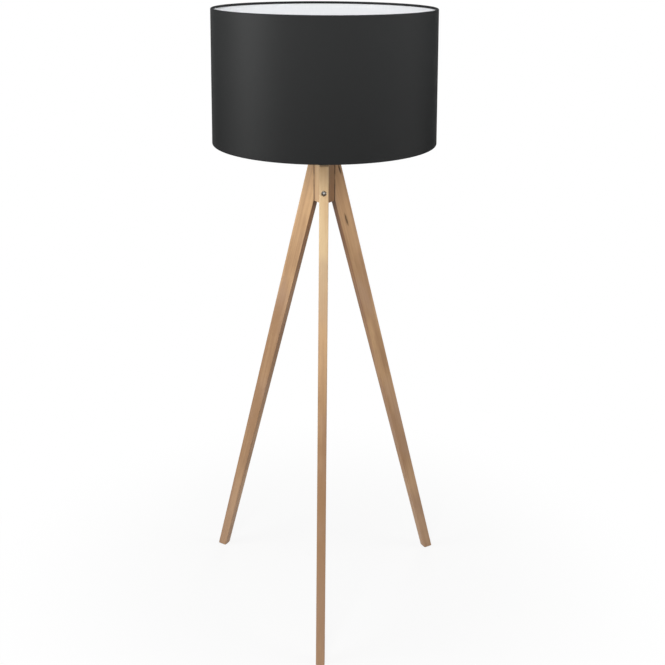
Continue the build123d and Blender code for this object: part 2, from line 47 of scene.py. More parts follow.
FOCAL_PIXELS = 982.45
SENSOR_MM = 36.0
CAMERA_DISTANCE = 2.2404        # level distance to the lamp's axis
CAMERA_HEIGHT = 1.6114
CAMERA_SWING = 0.0227           # camera's bearing round the lamp's axis
CAMERA_PITCH = math.radians(21.664)
CAMERA_YAW = -0.0092
CAMERA_ROLL = 0.0053

# Legs and hub, lengths in metres
LEG_EDGE_ROUND = 0.0012
COUNTERBORE_RADIUS = 0.0063
BOLT_HOLE_RADIUS = 0.0033
BOLT_WASHER_THICKNESS = 0.0016
DOWEL_HOLE_RADIUS = 0.00405
LEG_RING = 0.0075               # spacing of the growth rings
HUB_RING = 0.0080
DOWEL_RING = 0.003
CUT_OUTWARD = 0.03              # length of the counterbore's cutter, which ends outside the leg
CUT_INWARD = 0.01               # how far the cutters of the other holes run past a leg's seat
CUT_LAP = 0.001                 # how far the bolt hole's cutter runs into the counterbore
LEVEL = 1e-5                    # difference at which two points still count as level
LONG_EDGE = 0.5                 # edges longer than this run the length of a leg
HUB_SHADED_FACE = (0.866, -0.5, 0.0)     # way the hub's right face looks, the face that gets painted shade
FACE_SHADE_HEIGHTS = (0.35, 1.00)  # where painted shade on a leg's inner face, or the hub's shaded face, goes from faint to full
CORNER_HEIGHTS = (0.975, 1.02)  # where painted shade darkens a leg's inner face in the corner under the hub
ROSY_HEIGHTS = (0.28, 0.04)     # where a leg's tone goes rosy towards the foot
CREASE_REACH = 0.005            # how far the painted shade in a joint reaches out of it
SEAT_SHADOW_WIDTH = 0.0042              # width of the painted shadow line where a leg meets the hub

# Wood tone by height up a leg, from 0, straw, to 1, brown; partly the wood's own tone, partly painted shade
# that mostly darkens the legs towards the floor
FRONT_TONES = ((0.10, 1.05), (0.42, 1.05), (0.98, 0.13), (0.99, 0.13), (1.03, 0.24))
RIGHT_TONES = ((0.12, 0.84), (0.28, 1.12), (0.50, 0.86), (0.75, 0.78), (1.05, 0.96))
LEFT_TONES = ((0.15, 0.90), (0.58, 1.08), (0.80, 0.72), (1.02, 0.53))
HUB_TONES = ((1.05, 0.55), (1.13, 0.42))

# Knots in the right leg, as centre and half size in its grain's frame, and darkness
RIGHT_KNOTS = (
    ((0.3131, -0.0104, 0.9525), (0.0036, 0.0040, 0.0150), 0.50),
    ((0.3121, -0.0104, 0.9580), (0.0014, 0.0040, 0.0115), 0.90),
    ((0.3144, -0.0104, 0.9480), (0.0012, 0.0040, 0.0105), 0.90),
    ((0.3256, -0.0104, 1.0775), (0.0026, 0.0040, 0.0120), 0.45),
    ((0.3250, -0.0104, 1.0800), (0.0013, 0.0040, 0.0090), 0.90),
    ((0.3268, -0.0104, 1.0735), (0.0012, 0.0040, 0.0085), 0.90),
)

# Shade, lengths in metres
FABRIC_THICKNESS = 0.0007
LINING_THICKNESS = 0.0007
LINING_GAP = 0.00005            # between the lining and the fabric
SHADE_RADIUS = 0.25             # about the shade's radius, for lengths round the seam
SKIN_CORNER = 50.0              # degrees above which a turned skin keeps a sharp corner
ROLL_TURN = math.radians(291)   # how far the fabric is rolled round its wire
SEAM_BEARING = math.radians(101)
SEAM_WIDTH = 0.013
SEAM_LIFT = 0.0005
SEAM_COLUMNS = (-0.0004, 0.0004, 0.02, 0.035)   # bearings of extra columns, from the seam's free edge
FABRIC_WANDER = 0.00012         # unevenness of the stretched fabric
WANDER_ROUND = 4.0              # pace of that unevenness round the shade
WANDER_UP = 14.0                # and up it, per metre
THREAD_PITCH = 0.00055
FABRIC_SHADE_HEIGHTS = (1.16, 1.50)   # where painted shade on the fabric fades out, from its foot to its full tone
SATIN_GLOSS = 0.34              # coat weight of the fabric where it faces the viewer
SATIN_FADE = (0.25, 0.75)       # Layer Weight's facing values between which that gloss fades out
NOTCH_WIDTH = 0.005             # gap in the lower rolled edge around a spoke
NOTCH_SPARE = 0.001             # how much higher than the roll a notch's cutter is
SPOKE_BEARINGS = [math.radians(angle) for angle in (90, 210, 330)]

# Stem's thread and the stage, lengths in metres
STEM_PITCH = 0.001
FLOOR_REACH = 14.0              # from the floor's middle to its edges
FLOOR_FADE = (0.25, 1.0)        # distances from the lamp's axis between which the floor runs into white
FLOOR_WHITE = 0.86              # share of white at the nearer distance
WORLD_LIGHT = 0.26              # strength of the white surroundings as a light

# Colours, as linear red, green and blue
WOOD_STRAW = (0.680, 0.500, 0.290, 1.0)
WOOD_TAN = (0.560, 0.355, 0.190, 1.0)
WOOD_BROWN = (0.345, 0.200, 0.105, 1.0)
WOOD_LATE = (0.270, 0.145, 0.070, 1.0)
WOOD_PORE = (0.150, 0.080, 0.040, 1.0)
WOOD_ROSE = (0.420, 0.280, 0.205, 1.0)
# Painted shade: a tint for faces that look one way, and the colour of shade in joints and corners
PAINTED_SHADE_TINT = (0.45, 0.36, 0.30, 1.0)
PAINTED_CREASE_SHADE = (0.050, 0.028, 0.015, 1.0)
KNOT_DARK = (0.060, 0.032, 0.016, 1.0)
CHARCOAL = (0.0284, 0.0294, 0.0296, 1.0)
# Painted shade that darkens the fabric towards its foot
FABRIC_FOOT_SHADE = (0.68, 0.68, 0.68, 1.0)
CHARCOAL_DEEP = (0.0158, 0.0164, 0.0168, 1.0)


# Shader building
def feed(socket, value):
    """Sets an input, or links another node's output to it."""
    if isinstance(value, bpy.types.NodeSocket):
        socket.id_data.links.new(value, socket)
    else:
        socket.default_value = value


def add(tree, kind, inputs=None, **settings):
    """Adds a shader node with its settings and inputs."""
    made = tree.nodes.new("ShaderNode" + kind)
    for name, value in settings.items():
        setattr(made, name, value)
    for name, value in (inputs or {}).items():
        feed(made.inputs[name], value)
    return made


def calc(tree, operation, first, second=0.0):
    """One sum on numbers."""
    return add(tree, "Math", {0: first, 1: second}, operation=operation).outputs[0]


def vector_calc(tree, operation, first, second=(0.0, 0.0, 0.0)):
    """One sum on vectors."""
    return add(tree, "VectorMath", {0: first, 1: second}, operation=operation).outputs[0]


def between(tree, value, low, high, start=0.0, end=1.0):
    """Eases from start to end as the value goes from low to high."""
    inputs = {"Value": value, "From Min": low, "From Max": high, "To Min": start, "To Max": end}
    return add(tree, "MapRange", inputs, interpolation_type="SMOOTHSTEP").outputs["Result"]


def tint(tree, factor, first, second, blend="MIX"):
    """Mixes two colours."""
    made = add(tree, "Mix", data_type="RGBA", blend_type=blend)
    feed(made.inputs[0], factor)
    feed(made.inputs[6], first)
    feed(made.inputs[7], second)
    return made.outputs[2]


def ramp(tree, factor, *stops):
    """Colours spread evenly over a factor from 0 to 1."""
    made = add(tree, "ValToRGB", {"Fac": factor})
    marks = made.color_ramp.elements
    marks[0].color = stops[0]
    marks[1].color = stops[-1]
    for index, colour in enumerate(stops[1:-1], 1):
        marks.new(index / (len(stops) - 1)).color = colour
    return made.outputs["Color"]


def cloud(tree, vector, stretch, detail=2.0, roughness=0.5):
    """Soft noise, stretched by a number of features per metre on each axis."""
    place = vector_calc(tree, "MULTIPLY", vector, stretch)
    inputs = {"Vector": place, "Scale": 1.0, "Detail": detail, "Roughness": roughness}
    return add(tree, "TexNoise", inputs).outputs[0]


def new_group(name, inputs, outputs):
    """Starts a shader group with named sockets and returns its tree and its two ends."""
    tree = bpy.data.node_groups.new(name, "ShaderNodeTree")
    for label, kind in inputs.items():
        tree.interface.new_socket(label, in_out="INPUT", socket_type="NodeSocket" + kind)
    for label, kind in outputs.items():
        tree.interface.new_socket(label, in_out="OUTPUT", socket_type="NodeSocket" + kind)
    given = tree.nodes.new("NodeGroupInput").outputs
    result = tree.nodes.new("NodeGroupOutput").inputs
    return tree, given, result


def place_group(tree, group, **inputs):
    """Puts a shader group in a material and returns its outputs."""
    made = tree.nodes.new("ShaderNodeGroup")
    made.node_tree = group
    for name, value in inputs.items():
        feed(made.inputs[name], value)
    return made.outputs


def new_finish(name, **constants):
    """A material with one Principled shader, whose constants are set on its own sockets."""
    material = bpy.data.materials.new(name)
    material.use_nodes = True
    tree = material.node_tree
    shader = tree.nodes["Principled BSDF"]
    for label, value in constants.items():
        shader.inputs[label.replace("_", " ")].default_value = value
    return material, tree, shader.inputs


def object_place(tree):
    """The surface point in the piece's own frame, in metres."""
    return add(tree, "TexCoord").outputs["Object"]


def raise_surface(tree, height, strength, distance):
    """Normal bumped by a height."""
    inputs = {"Height": height, "Strength": strength, "Distance": distance}
    return add(tree, "Bump", inputs).outputs["Normal"]


# Effects that several finishes share
def make_wood_figure():
    """Growth rings, streaks and pores of wood whose grain runs along Z."""
    inputs = {"Grain": "Vector", "Ring": "Float", "Seed": "Float"}
    outputs = {label: "Float" for label in ("Late", "Streak", "Pore", "Fleck", "Drift", "Blush", "Height")}
    tree, given, result = new_group("wood_figure", inputs, outputs)
    pith = add(tree, "VectorMath", {0: (0.0731, 0.0417, 0.293), "Scale": given["Seed"]}, operation="SCALE")
    grain = vector_calc(tree, "ADD", given["Grain"], pith.outputs[0])
    sway = calc(tree, "SUBTRACT", cloud(tree, grain, (20.0, 20.0, 1.4), 3.0), 0.5)
    flat = vector_calc(tree, "MULTIPLY", grain, (1.0, 1.0, 0.0))
    radius = add(tree, "VectorMath", {0: flat}, operation="LENGTH").outputs["Value"]
    swayed = calc(tree, "MULTIPLY_ADD", sway, 0.022)
    feed(swayed.node.inputs[2], radius)
    turn = calc(tree, "FRACT", calc(tree, "DIVIDE", swayed, given["Ring"]))
    band = calc(tree, "MULTIPLY", calc(tree, "POWER", turn, 1.6), between(tree, turn, 1.0, 0.82))
    clear = between(tree, cloud(tree, grain, (40.0, 40.0, 5.0), 2.0), 0.35, 0.65)
    late = calc(tree, "MULTIPLY", band, clear)
    streak = cloud(tree, grain, (190.0, 190.0, 2.6), 4.0, 0.62)
    pore = between(tree, cloud(tree, grain, (1500.0, 1500.0, 34.0), 2.0, 0.55), 0.60, 0.74)
    fleck = between(tree, cloud(tree, grain, (340.0, 340.0, 38.0), 2.0, 0.6), 0.66, 0.80)
    feed(result["Late"], late)
    feed(result["Fleck"], fleck)
    feed(result["Streak"], between(tree, streak, 0.30, 0.70))
    feed(result["Pore"], pore)
    feed(result["Drift"], between(tree, cloud(tree, grain, (26.0, 26.0, 5.5), 3.0), 0.28, 0.72))
    feed(result["Blush"], between(tree, cloud(tree, grain, (31.0, 17.0, 7.0), 2.0), 0.45, 0.75))
    feed(result["Height"], calc(tree, "SUBTRACT", calc(tree, "MULTIPLY", late, 0.25), pore))
    return tree


def make_plain_weave():
    """Over-and-under threads along the U and V of a cloth map in metres."""
    inputs = {"Cloth": "Vector", "Pitch": "Float"}
    outputs = {"Thread": "Float", "Slub": "Float", "Height": "Float"}
    tree, given, result = new_group("plain_weave", inputs, outputs)
    wander = cloud(tree, given["Cloth"], (60.0, 60.0, 0.0), 2.0)
    nudge = calc(tree, "MULTIPLY", calc(tree, "SUBTRACT", wander, 0.5), 0.0006)
    place = vector_calc(tree, "ADD", given["Cloth"], nudge)
    split = add(tree, "SeparateXYZ", {0: place}).outputs
    across = calc(tree, "DIVIDE", split["X"], given["Pitch"])
    along = calc(tree, "DIVIDE", split["Y"], given["Pitch"])
    cells = calc(tree, "ADD", calc(tree, "FLOOR", across), calc(tree, "FLOOR", along))
    over = calc(tree, "MODULO", calc(tree, "ABSOLUTE", cells), 2.0)
    warp = calc(tree, "ABSOLUTE", calc(tree, "SINE", calc(tree, "MULTIPLY", across, math.pi)))
    weft = calc(tree, "ABSOLUTE", calc(tree, "SINE", calc(tree, "MULTIPLY", along, math.pi)))
    top = calc(tree, "MULTIPLY", warp, over)
    under = calc(tree, "MULTIPLY", weft, calc(tree, "SUBTRACT", 1.0, over))
    height = calc(tree, "ADD", top, under)
    level = cloud(tree, place, (35.0, 1400.0, 0.0), 2.0)
    upright = cloud(tree, place, (1400.0, 30.0, 0.0), 2.0)
    slub = calc(tree, "ADD", between(tree, level, 0.42, 0.72), between(tree, upright, 0.46, 0.76))
    feed(result["Thread"], height)
    feed(result["Slub"], calc(tree, "MULTIPLY", slub, 0.5))
    feed(result["Height"], calc(tree, "ADD", height, calc(tree, "MULTIPLY", slub, 0.5)))
    return tree


def make_handling_marks():
    """Slow mottle, fine grit and hairline scuffs for moulded and plated pieces."""
    inputs = {"Place": "Vector", "Grit": "Float"}
    outputs = {"Mottle": "Float", "Grit": "Float", "Scuff": "Float"}
    tree, given, result = new_group("handling_marks", inputs, outputs)
    grit = add(tree, "TexNoise", {"Vector": given["Place"], "Scale": given["Grit"], "Detail": 2.0})
    hairs = cloud(tree, given["Place"], (60.0, 900.0, 900.0), 2.0)
    feed(result["Mottle"], cloud(tree, given["Place"], (55.0, 55.0, 55.0), 3.0))
    feed(result["Grit"], grit.outputs[0])
    feed(result["Scuff"], between(tree, hairs, 0.66, 0.78))
    return tree


wood_figure = make_wood_figure()
plain_weave = make_plain_weave()
handling_marks = make_handling_marks()


# Finishes
def tone_along(tree, height, stops):
    """Value that eases from stop to stop up the height."""
    tone = stops[0][1]
    for (low, start), (high, end) in zip(stops, stops[1:]):
        tone = calc(tree, "ADD", tone, between(tree, height, low, high, 0.0, end - start))
    return tone


def wood_colour(tree, height, figure, stops):
    """Wood's colour from its figure and from its tone up the height."""
    drift = between(tree, figure["Drift"], 0.0, 1.0, -0.15, 0.15)
    fine = between(tree, figure["Streak"], 0.0, 1.0, -0.08, 0.08)
    tone = calc(tree, "ADD", tone_along(tree, height, stops), calc(tree, "ADD", drift, fine))
    colour = ramp(tree, tone, WOOD_STRAW, WOOD_TAN, WOOD_BROWN)
    rosy = calc(tree, "MULTIPLY", figure["Blush"], 0.35)
    rosy = calc(tree, "MAXIMUM", rosy, between(tree, height, *ROSY_HEIGHTS, 0.0, 0.30))
    colour = tint(tree, rosy, colour, WOOD_ROSE)
    colour = tint(tree, calc(tree, "MULTIPLY", figure["Late"], 0.15), colour, WOOD_LATE)
    colour = tint(tree, calc(tree, "MULTIPLY", figure["Fleck"], 0.45), colour, WOOD_LATE)
    return tint(tree, calc(tree, "MULTIPLY", figure["Pore"], 0.22), colour, WOOD_PORE)


def facing_mask(tree, direction):
    """1 on the faces that look in a direction."""
    facing = add(tree, "TexCoord").outputs["Normal"]
    turned = add(tree, "VectorMath", {0: facing, 1: direction}, operation="DOT_PRODUCT").outputs["Value"]
    return between(tree, turned, 0.60, 0.95)


def seat_shadow_line(tree, place, seat):
    """Painted shadow line, broken, beside a leg's seat on the hub."""
    split = add(tree, "SeparateXYZ", {0: place}).outputs
    beside = between(tree, split["X"], seat + SEAT_SHADOW_WIDTH, seat + SEAT_SHADOW_WIDTH * 0.3)
    broken = cloud(tree, place, (0.0, 0.0, 34.0), 2.0)
    return calc(tree, "MULTIPLY", beside, between(tree, broken, 0.30, 0.50, 0.35, 1.0))


def crease_shade_mask(tree):
    """Painted shade: 1 deep in the narrow joints between pieces."""
    shelter = add(tree, "AmbientOcclusion", {"Distance": CREASE_REACH}, samples=8).outputs["AO"]
    return between(tree, shelter, 0.62, 0.22)


def knot_mask(tree, grain, centre, size):
    """1 inside a knot, with a ragged edge."""
    away = vector_calc(tree, "DIVIDE", vector_calc(tree, "SUBTRACT", grain, centre), size)
    reach = add(tree, "VectorMath", {0: away}, operation="LENGTH").outputs["Value"]
    ragged = calc(tree, "ADD", reach, cloud(tree, grain, (420.0, 420.0, 60.0), 2.0))
    return between(tree, ragged, 1.90, 0.80)


def lacquered_wood(name, seed, ring, stops, lean=0.0, knots=(), shade_facing=None, seat=None):
    """Satin lacquered wood whose grain leans by an angle, with its foot out towards +X.

    Faces that look the given way get painted shade, stronger higher up. With a seat, a leg also gets a
    painted shadow line beside it and painted shade in the corner under the hub. Narrow joints get painted
    shade too.
    """
    material, tree, shader = new_finish(
        name, Coat_Weight=0.10, Coat_Roughness=0.32, Specular_IOR_Level=0.22
    )
    place = object_place(tree)
    inputs = {"Vector": place, "Angle": lean, "Axis": (0.0, 1.0, 0.0)}
    grain = add(tree, "VectorRotate", inputs, rotation_type="AXIS_ANGLE").outputs[0]
    height = add(tree, "SeparateXYZ", {0: grain}).outputs["Z"]
    figure = place_group(tree, wood_figure, Grain=grain, Ring=ring, Seed=seed)
    colour = wood_colour(tree, height, figure, stops)
    for centre, size, darkness in knots:
        knot = knot_mask(tree, grain, centre, size)
        colour = tint(tree, calc(tree, "MULTIPLY", knot, darkness), colour, KNOT_DARK)
    # Painted shade on the faces that look the given way, stronger higher up
    if shade_facing:
        shelter = between(tree, height, *FACE_SHADE_HEIGHTS, 0.14, 1.0)
        inner = facing_mask(tree, shade_facing)
        colour = tint(tree, calc(tree, "MULTIPLY", shelter, inner), colour, PAINTED_SHADE_TINT, "MULTIPLY")
        if seat:
            # Painted shadow line beside the seat, and painted shade in the corner under the hub
            colour = tint(tree, seat_shadow_line(tree, place, seat), colour, PAINTED_CREASE_SHADE)
            corner_shade = calc(tree, "MULTIPLY", inner, between(tree, height, *CORNER_HEIGHTS, 0.0, 0.75))
            colour = tint(tree, corner_shade, colour, PAINTED_CREASE_SHADE)
    # Painted shade in narrow joints
    colour = tint(tree, calc(tree, "MULTIPLY", crease_shade_mask(tree), 0.85), colour, PAINTED_CREASE_SHADE)
    feed(shader["Base Color"], colour)
    feed(shader["Roughness"], between(tree, figure["Streak"], 0.0, 1.0, 0.50, 0.62))
    feed(shader["Normal"], raise_surface(tree, figure["Height"], 0.25, 0.0002))
    return material


def marked_finish(name, colours, roughness, bump, grit=2600.0, **constants):
    """Moulded or plated finish: two near colours, a roughness range and a fine bump depth."""
    material, tree, shader = new_finish(name, **constants)
    marks = place_group(tree, handling_marks, Place=object_place(tree), Grit=grit)
    mottle = between(tree, marks["Mottle"], 0.3, 0.7)
    feed(shader["Base Color"], tint(tree, mottle, *colours))
    uneven = between(tree, marks["Mottle"], 0.3, 0.7, *roughness)
    feed(shader["Roughness"], calc(tree, "ADD", uneven, calc(tree, "MULTIPLY", marks["Scuff"], 0.1)))
    feed(shader["Normal"], raise_surface(tree, marks["Grit"], 0.35, bump))
    return material


def shade_fabric():
    """Charcoal black plain weave with a satin gloss that fades where it turns away, and painted shade
    towards its foot.
    """
    material, tree, shader = new_finish(
        "shade_fabric", Specular_IOR_Level=0.006, Diffuse_Roughness=1.0, Coat_Roughness=0.50
    )
    cloth = add(tree, "UVMap", uv_map="cloth").outputs[0]
    weave = place_group(tree, plain_weave, Cloth=cloth, Pitch=THREAD_PITCH)
    colour = tint(tree, weave["Thread"], CHARCOAL_DEEP, CHARCOAL)
    colour = tint(tree, calc(tree, "MULTIPLY", weave["Slub"], 0.35), colour, CHARCOAL_DEEP)
    # Painted shade: the fabric darker towards its foot
    height = add(tree, "SeparateXYZ", {0: object_place(tree)}).outputs["Z"]
    low = between(tree, height, *FABRIC_SHADE_HEIGHTS, 1.0, 0.0)
    feed(shader["Base Color"], tint(tree, low, colour, FABRIC_FOOT_SHADE, "MULTIPLY"))
    feed(shader["Roughness"], between(tree, weave["Slub"], 0.0, 1.0, 0.52, 0.64))
    feed(shader["Normal"], raise_surface(tree, weave["Height"], 0.45, 0.00012))
    turned = add(tree, "LayerWeight", {"Blend": 0.5}).outputs["Facing"]
    feed(shader["Coat Weight"], between(tree, turned, *SATIN_FADE, SATIN_GLOSS, 0.0))
    return material


def shade_lining():
    """White lining film with a faint laid grain."""
    material, tree, shader = new_finish("shade_lining", Specular_IOR_Level=0.4)
    cloth = add(tree, "UVMap", uv_map="cloth").outputs[0]
    laid = cloud(tree, cloth, (900.0, 60.0, 0.0), 3.0)
    tone = between(tree, laid, 0.3, 0.7)
    feed(shader["Base Color"], tint(tree, tone, (0.80, 0.815, 0.835, 1.0), (0.84, 0.85, 0.865, 1.0)))
    feed(shader["Roughness"], between(tree, laid, 0.3, 0.7, 0.46, 0.56))
    feed(shader["Normal"], raise_surface(tree, laid, 0.2, 0.0001))
    return material


def pad_felt():
    """Pressed grey felt."""
    material, tree, shader = new_finish("pad_felt", Sheen_Weight=0.3, Specular_IOR_Level=0.15)
    place = object_place(tree)
    fibre = cloud(tree, place, (2400.0, 2400.0, 2400.0), 4.0, 0.7)
    tone = between(tree, fibre, 0.35, 0.65)
    feed(shader["Base Color"], tint(tree, tone, (0.30, 0.30, 0.31, 1.0), (0.50, 0.50, 0.50, 1.0)))
    feed(shader["Roughness"], between(tree, fibre, 0.3, 0.7, 0.85, 0.97))
    feed(shader["Normal"], raise_surface(tree, fibre, 0.6, 0.0003))
    return material


def threaded_steel():
    """Zinc plated stem with the fine lines of its thread."""
    material, tree, shader = new_finish("threaded_steel", Metallic=1.0)
    place = object_place(tree)
    marks = place_group(tree, handling_marks, Place=place, Grit=2400.0)
    height = add(tree, "SeparateXYZ", {0: place}).outputs["Z"]
    ridge = calc(tree, "SINE", calc(tree, "MULTIPLY", height, 2 * math.pi / STEM_PITCH))
    feed(shader["Base Color"], tint(tree, marks["Mottle"], (0.42, 0.41, 0.38, 1.0), (0.60, 0.59, 0.55, 1.0)))
    feed(shader["Roughness"], between(tree, marks["Mottle"], 0.2, 0.8, 0.28, 0.46))
    feed(shader["Normal"], raise_surface(tree, ridge, 0.5, 0.0003))
    return material


# Mesh building
def new_piece(name, mesh, material, body, bearing=0.0):
    """Shows a mesh, turned to a bearing, as a piece of the lamp that rides on a body."""
    piece = bpy.data.objects.new(name, mesh)
    piece.rotation_euler.z = bearing
    bpy.context.scene.collection.objects.link(piece)
    piece.data.materials.clear()
    piece.data.materials.append(material)
    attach(piece, body)
    return piece


def smooth(mesh, angle=35.0):
    """Smooth shading that keeps corners sharper than the angle, in degrees."""
    mesh.polygons.foreach_set("use_smooth", [True] * len(mesh.polygons))
    mesh.set_sharp_from_angle(angle=math.radians(angle))
    mesh.update()


def rod_mesh(radius, start, end, segments):
    """Round rod between two points."""
    shape = bmesh.new()
    line = end - start
    turn = line.to_track_quat("Z", "Y").to_matrix().to_4x4()
    place = Matrix.Translation((start + end) / 2) @ turn
    bmesh.ops.create_cone(
        shape, cap_ends=True, segments=segments,
        radius1=radius, radius2=radius, depth=line.length, matrix=place,
    )
    mesh = bpy.data.meshes.new("rod")
    shape.to_mesh(mesh)
    shape.free()
    return mesh


def cut_away(mesh, cutters):
    """The mesh with the cutters' shapes taken out of it."""
    blank = bpy.data.objects.new("blank", mesh)
    bpy.context.scene.collection.objects.link(blank)
    tools = []
    for cutter in cutters:
        tool = bpy.data.objects.new("tool", cutter)
        bpy.context.scene.collection.objects.link(tool)
        step = blank.modifiers.new("cut", "BOOLEAN")
        step.operation = "DIFFERENCE"
        step.solver = "EXACT"
        step.object = tool
        tools.append(tool)
    bpy.context.view_layer.update()
    ready = blank.evaluated_get(bpy.context.evaluated_depsgraph_get())
    shaped = bpy.data.meshes.new_from_object(ready)
    for tool in tools + [blank]:
        bpy.data.objects.remove(tool)
    return shaped


def turned_skin(name, outline, bearings, lift):
    """Skin turned about the lamp's axis from a closed (radius, height) outline, with a cloth map."""
    mesh = bpy.data.meshes.new(name)
    count = len(outline)
    verts = []
    for bearing in bearings:
        for radius, height in outline:
            reach = radius + lift(bearing, height)
            verts.append((reach * math.cos(bearing), reach * math.sin(bearing), height))
    faces = []
    for column in range(len(bearings)):
        here = column * count
        there = (column + 1) % len(bearings) * count
        for row in range(count):
            after = (row + 1) % count
            faces.append((here + row, there + row, there + after, here + after))
    mesh.from_pydata(verts, [], faces)
    map_cloth(mesh, outline, bearings)
    smooth(mesh, SKIN_CORNER)
    return mesh


def map_cloth(mesh, outline, bearings):
    """Cloth map of a turned skin: U round the lamp, V along the outline, in metres."""
    count = len(outline)
    around = max(radius for radius, height in outline)
    along = [0.0]
    for (r0, z0), (r1, z1) in zip(outline, outline[1:] + outline[:1]):
        along.append(along[-1] + math.hypot(r1 - r0, z1 - z0))
    layer = mesh.uv_layers.new(name="cloth")
    spots = []
    for column, bearing in enumerate(bearings):
        after = bearings[column + 1] if column + 1 < len(bearings) else bearings[0] + 2 * math.pi
        for row in range(count):
            for angle, step in ((bearing, row), (after, row), (after, row + 1), (bearing, row + 1)):
                spots.extend((angle * around, along[step]))
    layer.data.foreach_set("uv", spots)


# Legs
def leg_corners(name):
    """A leg's bearing, half width and the corners of its side outline, read from the frame."""
    low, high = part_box(name)
    bearing = math.atan2(low.y + high.y, low.x + high.x)
    back = Matrix.Rotation(-bearing, 4, "Z")
    points = [back @ vertex.co for vertex in cad[name].data.vertices]
    foot = min(point.z for point in points)
    top = max(point.z for point in points)
    at_foot = [point.x for point in points if point.z < foot + LEVEL]
    at_top = [point.x for point in points if point.z > top - LEVEL]
    seat = min(at_top)
    heel = min(point.z for point in points if point.x < seat + LEVEL)
    half = max(point.y for point in points)
    outline = [(min(at_foot), foot), (max(at_foot), foot), (max(at_top), top), (seat, top), (seat, heel)]
    return bearing, half, outline


def leg_blank(half, outline):
    """Tapered bar with its long edges, its top and the edges of its seat on the hub eased."""
    shape = bmesh.new()
    sides = [[shape.verts.new((x, y, z)) for x, z in outline] for y in (-half, half)]
    shape.faces.new(sides[0])
    shape.faces.new(reversed(sides[1]))
    count = len(outline)
    for index in range(count):
        after = (index + 1) % count
        shape.faces.new((sides[0][after], sides[0][index], sides[1][index], sides[1][after]))
    bmesh.ops.recalc_face_normals(shape, faces=shape.faces)
    upright = [edge for edge in shape.edges if abs(edge.verts[0].co.y - edge.verts[1].co.y) < LEVEL]
    longs = [edge for edge in upright if edge.calc_length() > LONG_EDGE]
    seats = [edge for edge in upright if abs(edge.verts[0].co.x - edge.verts[1].co.x) < LEVEL]
    top = max(z for x, z in outline)
    tops = [edge for edge in shape.edges if min(vert.co.z for vert in edge.verts) > top - LEVEL]
    ease = dict(segments=5, profile=0.5, affect="EDGES", clamp_overlap=True)
    bmesh.ops.bevel(shape, geom=longs + seats + tops, offset=LEG_EDGE_ROUND, **ease)
    mesh = bpy.data.meshes.new("leg_blank")
    shape.to_mesh(mesh)
    shape.free()
    return mesh


def leg_holes(seat):
    """Cutters for a leg's counterbore, bolt hole and dowel hole."""
    bolts_low, bolts_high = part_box("leg_bolts")
    washers_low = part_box("bolt_washers")[0]
    dowels_low, dowels_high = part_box("leg_dowels")
    bolt_z = (bolts_low.z + bolts_high.z) / 2
    dowel_z = (dowels_low.z + dowels_high.z) / 2
    floor = -washers_low.y - BOLT_WASHER_THICKNESS
    outside = floor + CUT_OUTWARD
    inside = seat - CUT_INWARD
    return [
        rod_mesh(COUNTERBORE_RADIUS, Vector((floor, 0, bolt_z)), Vector((outside, 0, bolt_z)), 64),
        rod_mesh(BOLT_HOLE_RADIUS, Vector((inside, 0, bolt_z)), Vector((floor + CUT_LAP, 0, bolt_z)), 32),
        rod_mesh(DOWEL_HOLE_RADIUS, Vector((inside, 0, dowel_z)), Vector((-dowels_low.y, 0, dowel_z)), 32),
    ]


def make_leg(name, seed, stops, knots=()):
    """One lacquered leg in place of its CAD node."""
    bearing, half, outline = leg_corners(name)
    inner_foot, outer_foot, outer_top, inner_top = outline[:4]
    seat = inner_top[0]
    mesh = cut_away(leg_blank(half, outline), leg_holes(seat))
    smooth(mesh)
    foot = (inner_foot[0] + outer_foot[0]) / 2
    head = (outer_top[0] + inner_top[0]) / 2
    lean = math.atan2(foot - head, outer_top[1] - inner_foot[1])
    inward = (-math.cos(lean), 0.0, -math.sin(lean))
    wood = lacquered_wood(name + "_wood", seed, LEG_RING, stops, lean, knots, inward, seat)
    piece = new_piece(name + "_turned", mesh, wood, "stand", bearing)
    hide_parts(name)


# Shade
def wire_circle(name):
    """Radius and height of the middle of a ring's wire."""
    low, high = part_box(name)
    wire = (high.z - low.z) / 2
    return Vector((high.x - wire, (high.z + low.z) / 2))


def shade_wall():
    """Ends of the shade's wall at its wires, its direction up and its outward normal."""
    low = wire_circle("shade_bottom_ring")
    high = wire_circle("shade_top_ring")
    along = (high - low).normalized()
    return low, high, along, Vector((along.y, -along.x))


def rolled(centre, up, outward, radius, steps=30):
    """Points of the fabric's roll round a wire, from the wall to its tucked end."""
    angles = [ROLL_TURN * step / steps for step in range(steps + 1)]
    return [centre + outward * (radius * math.cos(a)) + up * (radius * math.sin(a)) for a in angles]


def wall_points(first, last, rows=24):
    """Points up the wall between two rolls, without the ends."""
    return [first.lerp(last, row / rows) for row in range(1, rows)]


def cover_outline(roll):
    """Closed outline of the fabric: outer wall, upper roll, inner wall, lower roll."""
    low, high, along, outward = shade_wall()
    bore = roll - FABRIC_THICKNESS
    points = wall_points(low + outward * roll, high + outward * roll)
    points += rolled(high, along, outward, roll)
    points += reversed(rolled(high, along, outward, bore))
    points += wall_points(high + outward * bore, low + outward * bore)
    points += rolled(low, -along, outward, bore)
    points += reversed(rolled(low, -along, outward, roll))
    return [(point.x, point.y) for point in points]


def skin_bearings(segments=300):
    """Bearings of a turned skin's columns, with extra ones beside the seam's free edge."""
    bearings = [2 * math.pi * step / segments for step in range(segments)]
    bearings += [SEAM_BEARING + past for past in SEAM_COLUMNS]
    return sorted(bearings)


